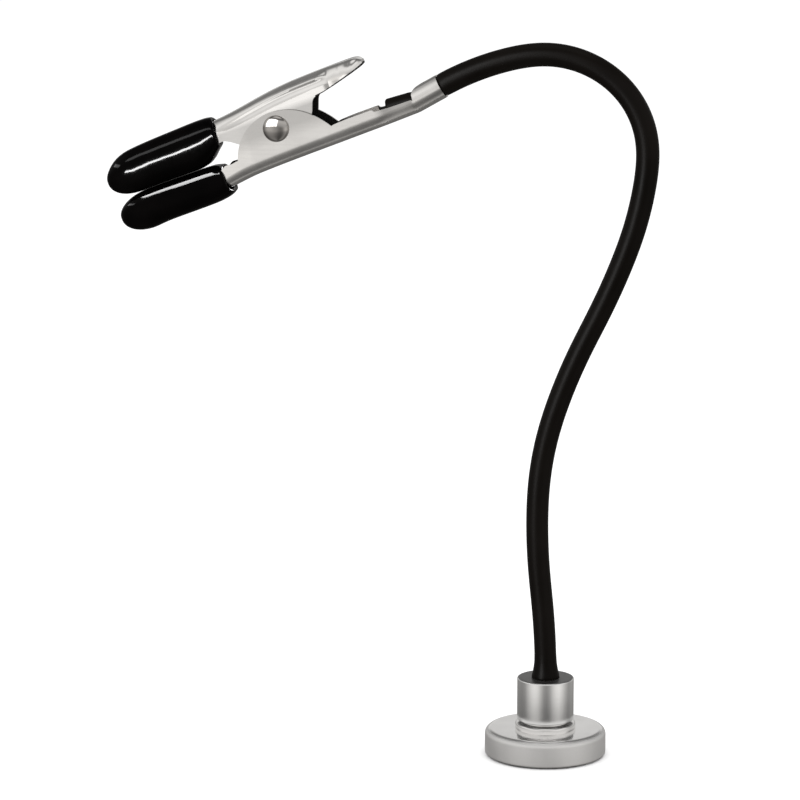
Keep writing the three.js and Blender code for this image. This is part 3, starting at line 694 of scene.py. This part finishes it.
ear_rear = [(quadratic(t, 1.5, 9, 14), quadratic(t, 4.28, 3.4, -4.2)) for t in np.linspace(0, 1, 40)]
rear_ear = straight_line(ear_rear)
channel_top = smooth_line([
    (14, -4.2), (14.6, -4.02), (16, -3.9), (20, -3.75), (25.3, -3.7), (25.55, -3.78), (25.95, -4.32),
    (26.3, -4.4), (36.2, -4.75),
])
front_edge = smooth_line([(-22, -7.1), (-17.8, -5.6), (-16.4, -4.85), (-14.6, -4.95), (-13.3, -4.7)])
lower_floor = smooth_line([
    (-44, -10.8), (-41, -11.9), (-30, -12.1), (-18, -10.9), (-8.4, -9.8), (17.5, -9.1), (36, -8.7),
])
lower_half = smooth_line([(-44, 2.9), (-40, 3.7), (-24, 4.3), (-12, 5.0), (-8, 5.15), (26, 5.15), (36, 3.3)])
lower_bend = smooth_line([(-44, 1.4), (-24, 2.2), (-12, 3.2), (27, 3.3), (36, 3.26)])


def lower_top(x):
    if x <= TEETH_END:
        return toothed(x, -6.1)
    if x <= -13.3:
        return front_edge(x)
    if x <= 1.5:
        return EAR_Z + sqrt(max(EAR_RADIUS**2 - (x - EAR_X) ** 2, (-4.7 - EAR_Z) ** 2))
    if x < 14:
        return rear_ear(x)
    return channel_top(x)


ear_front = [EAR_X - EAR_RADIUS * cos(a) for a in np.linspace(radians(17.5), radians(90), 40)]
rings = []
JAW_STOPS = [*ear_front, *[p[0] for p in ear_rear[::2]], 14, 25.4, 25.6, 25.8, 26.0, 26.2]
for x in stops_between(-44, 35.9, 0.5, JAW_STOPS):
    floor = lower_floor(x)
    section = sheet_section(lower_half(x), lower_bend(x), lower_top(x) - floor)
    rings.append([clip_point(x, y, floor + h) for y, h in section])
BARREL_R = 3.3
for d in [*np.linspace(BARREL_LENGTH, 4.2, 16), *np.linspace(3.8, 0, 8)]:
    reach = max(0.0, (d - 4.2) / (BARREL_LENGTH - 4.2))
    wrap = radians(96 + 73 * sqrt(max(0.0, 1 - reach**2)))
    ring = []
    for y, h in sheet_section(BARREL_R, BARREL_R - 0.04, 2 * BARREL_R, wrap):
        up = h - BARREL_R
        ring.append(clip_point(
            BARREL_END[0] - d * cos(BARREL_RISE) - up * sin(BARREL_RISE),
            y,
            BARREL_END[1] - d * sin(BARREL_RISE) + up * cos(BARREL_RISE),
        ))
    rings.append(ring)
lower_jaw = new_object(
    "lower_jaw", *sheet_strip(rings), None, "plated_steel", LOWER_STEEL, ["clip_lower_jaw"], 30.0,
)

upper_roof = eased(smooth_line([
    (-44, 3.4), (-41, 5.2), (-30, 6.4), (-16, 7.1), (3, 9.8), (8, 10.2), (20, 10.55), (24, 10.5),
    (25.4, 10.25), (26.3, 9.8), (26.9, 9.2),
]), 0.6)
upper_half = eased(smooth_line([
    (-44, 2.6), (-40, 3.3), (-20, 3.7), (-14, 3.9), (-6, 4.1), (16.6, 4.0), (18, 4.2), (20.5, 4.85),
    (22.5, 5.1), (24.2, 4.8), (25.6, 3.7), (26.5, 2.4), (26.9, 1.6),
]), 0.8)
upper_bend = eased(smooth_line([
    (-44, 1.6), (-30, 2.4), (-16, 3.4), (0, 3.9), (22, 3.9), (24, 3.0), (26, 1.2), (26.9, 0.7),
]), 0.5)
upper_edge = smooth_line([
    (-22, 0.2), (-20, 0.4), (-17, 1.05), (-15, 1.35), (-13.5, 0.8), (-11, -0.8), (-7, -3.3), (-3, -4.6),
    (3, -4.6), (7, -2.9), (9.6, -0.4), (10, 0.1), (11.6, 3.7), (12.2, 4.25), (15, 4.75), (18.5, 5.6),
    (23.2, 6.9), (25.4, 7.6), (26.8, 8.2),
])
rib_height = eased(smooth_line([(-16, 0.0), (-10, 0.35), (0, 0.6), (14, 0.7), (15.6, 0.5), (17.2, 0.0)]), 0.5)
plate_height = smooth_line([(-15, 0.0), (-9, 0.2), (15.4, 0.3), (16.3, 0.2), (17.1, 0.0)])
RIB_FROM, RIB_CREST, RIB_TO, PLATE_FROM, PLATE_FULL = 0.0, 1.5, 2.9, 2.9, 3.9


def soft_step(t):
    t = min(max(t, 0.0), 1.0)
    return t * t * (3 - 2 * t)


def upper_bottom(x):
    if x <= TEETH_END:
        return -toothed(x, 1.2)
    return upper_edge(x)


rings = []
PAD_STOPS = [10, 11.6, *np.arange(15, 17.6, 0.2), *np.arange(17.6, 26.7, 0.3), 26.7, 26.8]
for x in stops_between(-44, 26.8, 0.45, PAD_STOPS):
    roof = upper_roof(x)
    height = roof - upper_bottom(x)
    rib, plate = rib_height(x), plate_height(x)

    def bulge(h, rib=rib, plate=plate):
        rise = soft_step((h - RIB_FROM) / (RIB_CREST - RIB_FROM))
        fall = soft_step((RIB_TO - h) / (RIB_TO - RIB_CREST))
        return rib * (rise * fall) + plate * soft_step((h - PLATE_FROM) / (PLATE_FULL - PLATE_FROM))

    section = sheet_section(upper_half(x), upper_bend(x), height, None, bulge)
    rings.append([clip_point(x, y, roof - h) for y, h in section])
upper_jaw = new_object(
    "upper_jaw", *sheet_strip(rings), None, "plated_steel", UPPER_STEEL, ["clip_upper_jaw"], 30.0,
)


def y_cylinder(name, centre_point, radius, half_length, segments=64):
    verts, faces = [], []
    for side in (-1, 1):
        for k in range(segments):
            a = 2 * pi * k / segments
            verts.append(centre_point + Vector((radius * cos(a), side * half_length, radius * sin(a))))
    faces += ring_faces(0, segments, segments)
    faces += [tuple(range(segments)), tuple(reversed(range(segments, 2 * segments)))]
    mesh = bpy.data.meshes.new(name)
    mesh.from_pydata([tuple(v) for v in verts], [], faces)
    bm = bmesh.new()
    bm.from_mesh(mesh)
    bmesh.ops.recalc_face_normals(bm, faces=bm.faces)
    bm.to_mesh(mesh)
    bm.free()
    obj = bpy.data.objects.new(name, mesh)
    bpy.context.scene.collection.objects.link(obj)
    return obj


def settle_modifiers(obj):
    """Turns the modifiers into the mesh itself."""
    bpy.context.view_layer.update()
    graph = bpy.context.evaluated_depsgraph_get()
    mesh = bpy.data.meshes.new_from_object(obj.evaluated_get(graph))
    obj.modifiers.clear()
    obj.data = mesh


CLIP_AXIS = Vector((cos(CLIP_PITCH), 0, sin(CLIP_PITCH)))
CLIP_UPWARD = Vector((-sin(CLIP_PITCH), 0, cos(CLIP_PITCH)))
PAD_EDGE_FROM, PAD_EDGE_SHADE = 12.5, 0.28
RIVET_HOLE, TOOL_REACH, SHEET_EDGE = 1.8 * MM, 12 * MM, 0.1 * MM
# Spans along the clip, in mm, where inner wall faces get the painted shade.
for jaw, body, shaded in (
    (lower_jaw, "clip", ((-60, 14.2), (25.4, 40))),
    (upper_jaw, "clip_lever", ((-60, 11.5),)),
):
    cutter = y_cylinder("rivet_hole_tool", RIVET, RIVET_HOLE, TOOL_REACH)
    cut = jaw.modifiers.new("rivet_hole", "BOOLEAN")
    cut.operation = "DIFFERENCE"
    cut.object = cutter
    cut.solver = "EXACT"
    settle_modifiers(jaw)
    bpy.data.objects.remove(cutter)
    bevel(jaw, SHEET_EDGE, 2, 50.0)
    settle_modifiers(jaw)
    # Painted shade: inner wall faces within the spans, and the upper jaw's pad side near its lower edge from
    # PAD_EDGE_FROM on, get the near-black steel.
    jaw.data.materials.append(PAINTED_SHADE_STEEL)
    for face in jaw.data.polygons:
        inward = -face.normal.y if face.center.y > 0 else face.normal.y
        along = (face.center - RIVET).dot(CLIP_AXIS) / MM
        height = (face.center - RIVET).dot(CLIP_UPWARD) / MM
        near_edge = height < upper_edge(along) + PAD_EDGE_SHADE
        at_pad_edge = jaw == upper_jaw and along > PAD_EDGE_FROM and near_edge
        if at_pad_edge or inward > 0.3 and any(low < along < high for low, high in shaded):
            face.material_index = 1
    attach(jaw, body)

# ---------- rivet ----------


def dome(radius, height, base, side, steps=14):
    points = []
    for k in range(steps + 1):
        a = (pi / 2) * k / steps
        points.append((radius * cos(a) ** 0.85 if a < pi / 2 else 0.0, base + side * height * sin(a)))
    return points


near = dome(3.5, 1.7, -5.2, -1)
far = dome(2.8, 1.36, 5.2, 1)
outline = list(reversed(near)) + [(3.35, -5.16), (1.5, -5.16), (1.5, 5.16), (2.7, 5.16)] + far
verts, faces = lathe(millimetres(outline), 96, closed=False)
verts = [RIVET + Vector((v[0], v[2], v[1])) for v in verts]
pivot_rivet = new_object(
    "pivot_rivet", verts, faces, "clip", "polished_metal", RIVET_METAL, ["clip_rivet"], 40.0,
)

# ---------- spring ----------
COIL_R, WIRE_R, COIL_Y = 2.7, 0.5, 1.6
COIL_TURNS = 3
LEG_X, LEG_TOP, LEG_BOTTOM = 15.0, 8.3, -7.8


def leg_angle(x, z, side):
    return atan2(z, x) + side * np.arccos(COIL_R / np.hypot(x, z))


a0 = leg_angle(LEG_X, LEG_BOTTOM, 1)
a1 = leg_angle(LEG_X, LEG_TOP, -1) + COIL_TURNS * 2 * pi
path = []
LEG_STEPS, COIL_STEPS, WIRE_SIDES = 12, 240, 14
for k in range(LEG_STEPS):
    t = k / LEG_STEPS
    start = np.array([LEG_X, LEG_BOTTOM])
    touch = COIL_R * np.array([cos(a0), sin(a0)])
    path.append((*(start + (touch - start) * t), a0, -COIL_Y))
for k in range(COIL_STEPS + 1):
    t = k / COIL_STEPS
    a = a0 + (a1 - a0) * t
    path.append((COIL_R * cos(a), COIL_R * sin(a), a, COIL_Y * (2 * t - 1)))
for k in range(1, LEG_STEPS + 1):
    t = k / LEG_STEPS
    touch = COIL_R * np.array([cos(a1), sin(a1)])
    stop = np.array([LEG_X, LEG_TOP])
    path.append((*(touch + (stop - touch) * t), a1, COIL_Y))
rings = []
for x, z, a, y in path:
    ring = []
    for k in range(WIRE_SIDES):
        b = 2 * pi * k / WIRE_SIDES
        out = WIRE_R * cos(b)
        ring.append(clip_point(x + out * cos(a), y + WIRE_R * sin(b), z + out * sin(a)))
    rings.append(ring)
verts, faces = skin(rings, cap_start=True, cap_end=True)
spring = new_object(
    "torsion_spring", verts, faces, None, "spring_steel", MATERIALS["spring_steel"], ["clip_spring"], 50.0,
)
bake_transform(spring)


# ---------- jaw caps ----------

def soft_box(count, half, low, high, top_power, bottom_power, crown):
    """Points round a soft rectangle; its top and bottom halves have their own roundness and meet at crown."""
    points = []
    for k in range(count):
        a = 2 * pi * k / count
        c, s = cos(a), sin(a)
        power = top_power if s >= 0 else bottom_power
        rise = (high - crown) if s >= 0 else (crown - low)
        points.append((
            half * np.sign(c) * abs(c) ** (2 / power),
            crown + rise * np.sign(s) * abs(s) ** (2 / power),
        ))
    return points


def jaw_cap(name, node, body, top, bottom, rear, shoulder, nose, nose_z, half, powers, crown_share, rim):
    """A dipped cap: an outer skin, a rolled rear rim and an inner skin, drawn in to a blunt nose."""
    wall = 0.95
    sides = 96

    def layer(inset, stations):
        tip = nose + inset
        rings_out = []
        for x in stations:
            reach = min(max(0.0, (shoulder - x) / (shoulder - tip)), 1.0)
            shrink = (1 - reach**2.3) ** 0.5 if reach < 1 else 0.0
            high = nose_z + (top(x) - inset - nose_z) * shrink
            low = nose_z + (bottom(x) + inset - nose_z) * shrink
            wide = (half(x) - inset) * shrink
            crown = low + (high - low) * crown_share
            ring = []
            for y, z in soft_box(sides, wide, low, high, powers[0], powers[1], crown):
                slide = rim(y, z) * max(0.0, 1 - (rear - x) / 5.0)
                ring.append(clip_point(x + slide, y, z))
            rings_out.append(ring)
        return rings_out

    nose_steps = np.sin(np.linspace(0, pi / 2, 26))[1:-1]
    body_x = list(np.linspace(rear, shoulder, 44))
    outer_nose = [shoulder + (nose - shoulder) * t for t in nose_steps]
    inner_nose = [shoulder + (nose + wall - shoulder) * t for t in nose_steps]
    rim_roll = ((1.0, 0.0), (0.86, 0.16), (0.62, 0.24), (0.38, 0.24), (0.14, 0.16))
    rolled = [layer(wall * depth, [rear + out])[0] for depth, out in rim_roll]
    outside = layer(0.0, body_x + outer_nose)
    inside = layer(wall, body_x[1::2] + inner_nose[::2])
    verts, faces = skin(list(reversed(inside)) + rolled + outside, cap_start=True, cap_end=True)
    verts[-2], verts[-1] = clip_point(nose + wall, 0, nose_z), clip_point(nose, 0, nose_z)
    return new_object(name, verts, faces, body, "black_vinyl", MATERIALS["black_vinyl"], [node], 60.0)


def upper_rim(y, z):
    """How far along the clip the upper cap's rear rim is shifted at (y, z), in mm."""
    raised = 0.35 if z > 6.5 else 0.35 * max(0.0, (z - 3.5) / 3.0)
    return -0.08 * (y + 4.0) + raised - 0.5 * max(0.0, (z - 7.0) / 1.3)


def lower_rim(y, z):
    return -0.03 * (y + 4.0) + 0.9 * max(0.0, (-9.5 - z) / 2.7) ** 1.5


jaw_cap(
    "upper_cap", "upper_jaw_cap", "clip_lever",
    top=smooth_line([
        (-49.3, 5.6), (-45, 6.8), (-42, 7.2), (-37, 7.7), (-28, 8.2), (-20, 8.5), (-18, 8.45), (-16.5, 8.2),
    ]),
    bottom=smooth_line([
        (-49.3, -4.2), (-42, -4.0), (-34, -3.8), (-24, -3.72), (-21.5, -3.3), (-19.5, -2.3), (-17.8, -0.9),
        (-16.5, 0.1),
    ]),
    rear=-16.5, shoulder=-40.2, nose=-49.3, nose_z=1.0,
    half=smooth_line([(-49.3, 4.5), (-40, 4.6), (-28, 4.9), (-19, 5.15), (-16.5, 5.1)]),
    powers=(2.25, 3.4), crown_share=0.4, rim=upper_rim,
)
jaw_cap(
    "lower_cap", "lower_jaw_cap", "clip",
    top=smooth_line([
        (-49.2, -4.6), (-44, -4.2), (-39, -3.97), (-33, -3.86), (-24, -3.84), (-20.5, -3.95), (-18, -4.5),
    ]),
    bottom=smooth_line([
        (-49.2, -14.3), (-42, -14.2), (-36, -13.75), (-23, -13.5), (-19.4, -12.9), (-18, -12.2),
    ]),
    rear=-18.0, shoulder=-40.0, nose=-49.2, nose_z=-9.2,
    half=smooth_line([(-49.2, 4.8), (-40, 5.1), (-28, 5.6), (-18, 5.75)]),
    powers=(2.6, 3.0), crown_share=0.52, rim=lower_rim,
)

# ---------- camera, floor and light ----------
CAMERA_AZIMUTH = radians(10.936)
CAMERA_PITCH = radians(11.790)
CAMERA_PLACE = (0.178335, -1.125965, 0.333359)
camera_data = bpy.data.cameras.new("camera")
camera_data.lens = 200.535
camera_data.sensor_width = 36
camera_data.clip_end = 20
camera = bpy.data.objects.new("camera", camera_data)
bpy.context.scene.collection.objects.link(camera)
forward = Vector((
    -sin(CAMERA_AZIMUTH) * cos(CAMERA_PITCH),
    cos(CAMERA_AZIMUTH) * cos(CAMERA_PITCH),
    -sin(CAMERA_PITCH),
))
right = Vector((cos(CAMERA_AZIMUTH), sin(CAMERA_AZIMUTH), 0))
up = right.cross(forward)
camera.matrix_world = Matrix((
    (right.x, up.x, -forward.x, CAMERA_PLACE[0]),
    (right.y, up.y, -forward.y, CAMERA_PLACE[1]),
    (right.z, up.z, -forward.z, CAMERA_PLACE[2]),
    (0, 0, 0, 1),
))
bpy.context.scene.camera = camera


def plane(name, size, z, material):
    mesh = bpy.data.meshes.new(name)
    corners = [(x * size, y * size, z) for x, y in ((-1, -1), (1, -1), (1, 1), (-1, 1))]
    mesh.from_pydata(corners, [], [(0, 1, 2, 3)])
    obj = bpy.data.objects.new(name, mesh)
    obj.data.materials.append(material)
    bpy.context.scene.collection.objects.link(obj)
    return obj


floor_shader = Shader("pale_floor")
floor_cloud = floor_shader.noise(8, 3.0, 0.5)
floor_shader.colour(floor_shader.ramp(floor_cloud, (0.94, 0.94, 0.94), (0.96, 0.96, 0.96)))
floor_shader.set(Roughness=1.0, Specular_IOR_Level=0.0)
floor = plane("floor", 6.0, -0.0002, floor_shader.material)
floor.visible_glossy = False


def area_light(name, location, target, size, size_y, power):
    data = bpy.data.lights.new(name, "AREA")
    data.shape = "RECTANGLE"
    data.size = size
    data.size_y = size_y
    data.energy = power
    obj = bpy.data.objects.new(name, data)
    obj.location = location
    obj.rotation_euler = (Vector(target) - Vector(location)).to_track_quat("-Z", "Y").to_euler()
    obj.visible_camera = False
    bpy.context.scene.collection.objects.link(obj)
    return obj


def only_lights(light, objects):
    """This light falls on these pieces alone."""
    chosen = bpy.data.collections.new(light.name + "_receivers")
    for obj in objects:
        chosen.objects.link(obj)
    light.light_linking.receiver_collection = chosen


def direction(azimuth, elevation, reach):
    a, e = radians(azimuth), radians(elevation)
    return Vector((reach * sin(a) * cos(e), -reach * cos(a) * cos(e), reach * sin(e)))


for name, place, size, size_y, power in (
    ("key_light", (-0.75, -0.75, 0.85), 0.6, 0.5, 2.5),
    ("fill_light", (0.9, -0.5, 0.7), 0.5, 0.6, 2.0),
    ("top_light", (0.0, 0.3, 1.2), 0.9, 0.5, 3.0),
):
    area_light(name, place, (0, 0, 0.1), size, size_y, power).visible_glossy = False
UPPER_CAP, LOWER_CAP = bpy.data.objects["upper_cap"], bpy.data.objects["lower_cap"]
SLEEVES = [bpy.data.objects[f"sleeve_bend_{k:02d}"] for k in range(1, 9)]
CAP_MIDDLE = Vector((-0.10, 0, 0.155))
RADIANCE_TO_POWER = pi
for name, azimuth, elevation, reach, length, width, radiance, receivers, target in (
    ("upper_cap_streak", -17, 1.5, 0.8, 0.5, 0.06, 520.0, [UPPER_CAP], CAP_MIDDLE),
    ("upper_cap_band", -38, 34, 0.8, 0.4, 0.11, 22.0, [UPPER_CAP], CAP_MIDDLE),
    ("lower_cap_streak", -83, 50, 0.8, 0.9, 0.18, 270.0, [LOWER_CAP], CAP_MIDDLE),
    ("back_cap_streak", 150, 14, 0.8, 0.4, 0.09, 110.0, [UPPER_CAP, LOWER_CAP], CAP_MIDDLE),
    ("side_cap_streak", -80, 20, 0.8, 0.5, 0.09, 26.0, [UPPER_CAP, LOWER_CAP], CAP_MIDDLE),
    ("rivet_window", -34, 26, 0.8, 0.95, 0.7, 3.6, [pivot_rivet], RIVET),
    ("sleeve_glow", -30, 10, 0.8, 0.3, 0.8, 9.0, SLEEVES, (0, 0, 0.11)),
    ("lower_jaw_card", -14, -9, 0.5, 0.34, 0.14, 0.2, [lower_jaw], RIVET),
    ("upper_jaw_card", -14, -9, 0.5, 0.34, 0.14, 0.5, [upper_jaw], RIVET),
):
    power = radiance * RADIANCE_TO_POWER * length * width
    place = Vector(target) + direction(azimuth, elevation, reach)
    light = area_light(name, place, target, length, width, power)
    light.visible_diffuse = False
    only_lights(light, receivers)


def studio_world():
    """An even white room for the camera and soft light; its panels and gaps are seen only in reflections."""
    world = bpy.data.worlds.new("studio")
    world.use_nodes = True
    tree = world.node_tree
    nodes, links = tree.nodes, tree.links
    nodes.clear()
    out = nodes.new("ShaderNodeOutputWorld")
    coords = nodes.new("ShaderNodeTexCoord")
    split = nodes.new("ShaderNodeSeparateXYZ")
    links.new(coords.outputs["Generated"], split.inputs["Vector"])

    def math(operation, a, b=0.0):
        node = nodes.new("ShaderNodeMath")
        node.operation = operation
        for k, v in enumerate((a, b)):
            if isinstance(v, (int, float)):
                node.inputs[k].default_value = v
            else:
                links.new(v, node.inputs[k])
        return node.outputs["Value"]

    def ramp(value, stops):
        node = nodes.new("ShaderNodeValToRGB")
        node.color_ramp.interpolation = "LINEAR"
        elements = node.color_ramp.elements
        while len(elements) > 1:
            elements.remove(elements[-1])
        elements[0].position = stops[0][0]
        for place, level in stops[1:]:
            elements.new(place)
        for element, (place, level) in zip(elements, stops):
            element.color = (level, level * 0.99, level * 0.975, 1)
        links.new(value, node.inputs["Fac"])
        return node.outputs["Color"]

    azimuth = math("ARCTAN2", split.outputs["X"], math("MULTIPLY", split.outputs["Y"], -1.0))
    turn = math("ADD", math("DIVIDE", azimuth, 2 * pi), 0.5)
    panels = ramp(turn, [((a + 180) / 360, level) for a, level in PANELS])
    height = math("ADD", math("MULTIPLY", split.outputs["Z"], 0.5), 0.5)
    above_front = ramp(height, [((sin(radians(e)) + 1) / 2, level) for e, level in ABOVE_FRONT])
    above_back = ramp(height, [((sin(radians(e)) + 1) / 2, level) for e, level in ABOVE_BACK])
    frontness = ramp(turn, [((a + 180) / 360, level) for a, level in FRONTNESS])
    above = nodes.new("ShaderNodeMix")
    above.data_type = "RGBA"
    links.new(frontness, above.inputs["Factor"])
    links.new(above_back, above.inputs["A"])
    links.new(above_front, above.inputs["B"])
    share = ramp(height, [((sin(radians(e)) + 1) / 2, level) for e, level in UPPER_SHARE])
    low = ramp(height, [((sin(radians(e)) + 1) / 2, level) for e, level in LOWER_FADE])
    dimmed = nodes.new("ShaderNodeMix")
    dimmed.data_type = "RGBA"
    dimmed.blend_type = "MULTIPLY"
    dimmed.inputs["Factor"].default_value = 1.0
    links.new(panels, dimmed.inputs["A"])
    links.new(low, dimmed.inputs["B"])
    mixed = nodes.new("ShaderNodeMix")
    mixed.data_type = "RGBA"
    links.new(share, mixed.inputs["Factor"])
    links.new(dimmed.outputs["Result"], mixed.inputs["A"])
    links.new(above.outputs["Result"], mixed.inputs["B"])
    reflected = nodes.new("ShaderNodeBackground")
    links.new(mixed.outputs["Result"], reflected.inputs["Color"])
    plain = nodes.new("ShaderNodeBackground")
    plain.inputs["Strength"].default_value = 1.33
    rays = nodes.new("ShaderNodeLightPath")
    choose = nodes.new("ShaderNodeMixShader")
    links.new(rays.outputs["Is Glossy Ray"], choose.inputs["Fac"])
    links.new(plain.outputs["Background"], choose.inputs[1])
    links.new(reflected.outputs["Background"], choose.inputs[2])
    links.new(choose.outputs["Shader"], out.inputs["Surface"])
    world.cycles.sampling_method = "NONE"
    return world


# Brightness by azimuth (degrees from the front, + to the right) and by elevation, as seen in reflections
PANELS = [
    (-180, 0.32), (-125, 0.29), (-100, 0.27), (-82, 0.32), (-64, 0.58), (-49, 0.80), (-36, 0.88), (-22, 0.80),
    (-10, 0.56), (2, 0.34), (15, 0.28), (27, 0.40), (40, 0.68), (53, 0.86), (66, 0.92), (81, 0.74), (97, 0.5),
    (115, 0.33), (140, 0.38), (180, 0.32),
]
ABOVE_FRONT = [
    (0, 0.70), (14, 0.72), (30, 0.92), (42, 0.82), (50, 0.24), (60, 0.2), (70, 0.7), (80, 0.92), (90, 0.92),
]
ABOVE_BACK = [(0, 0.35), (7, 0.5), (11, 0.74), (16, 0.68), (24, 0.22), (60, 0.16), (72, 0.7), (90, 0.92)]
FRONTNESS = [(-180, 0), (-120, 0), (-95, 1), (95, 1), (120, 0), (180, 0)]
UPPER_SHARE = [(-2, 0.0), (11, 1.0)]
LOWER_FADE = [(-80, 0.42), (-40, 0.4), (-22, 0.55), (-11, 1.0)]
bpy.context.scene.world = studio_world()
bpy.context.scene.view_settings.view_transform = "Standard"

bpy.context.view_layer.update()
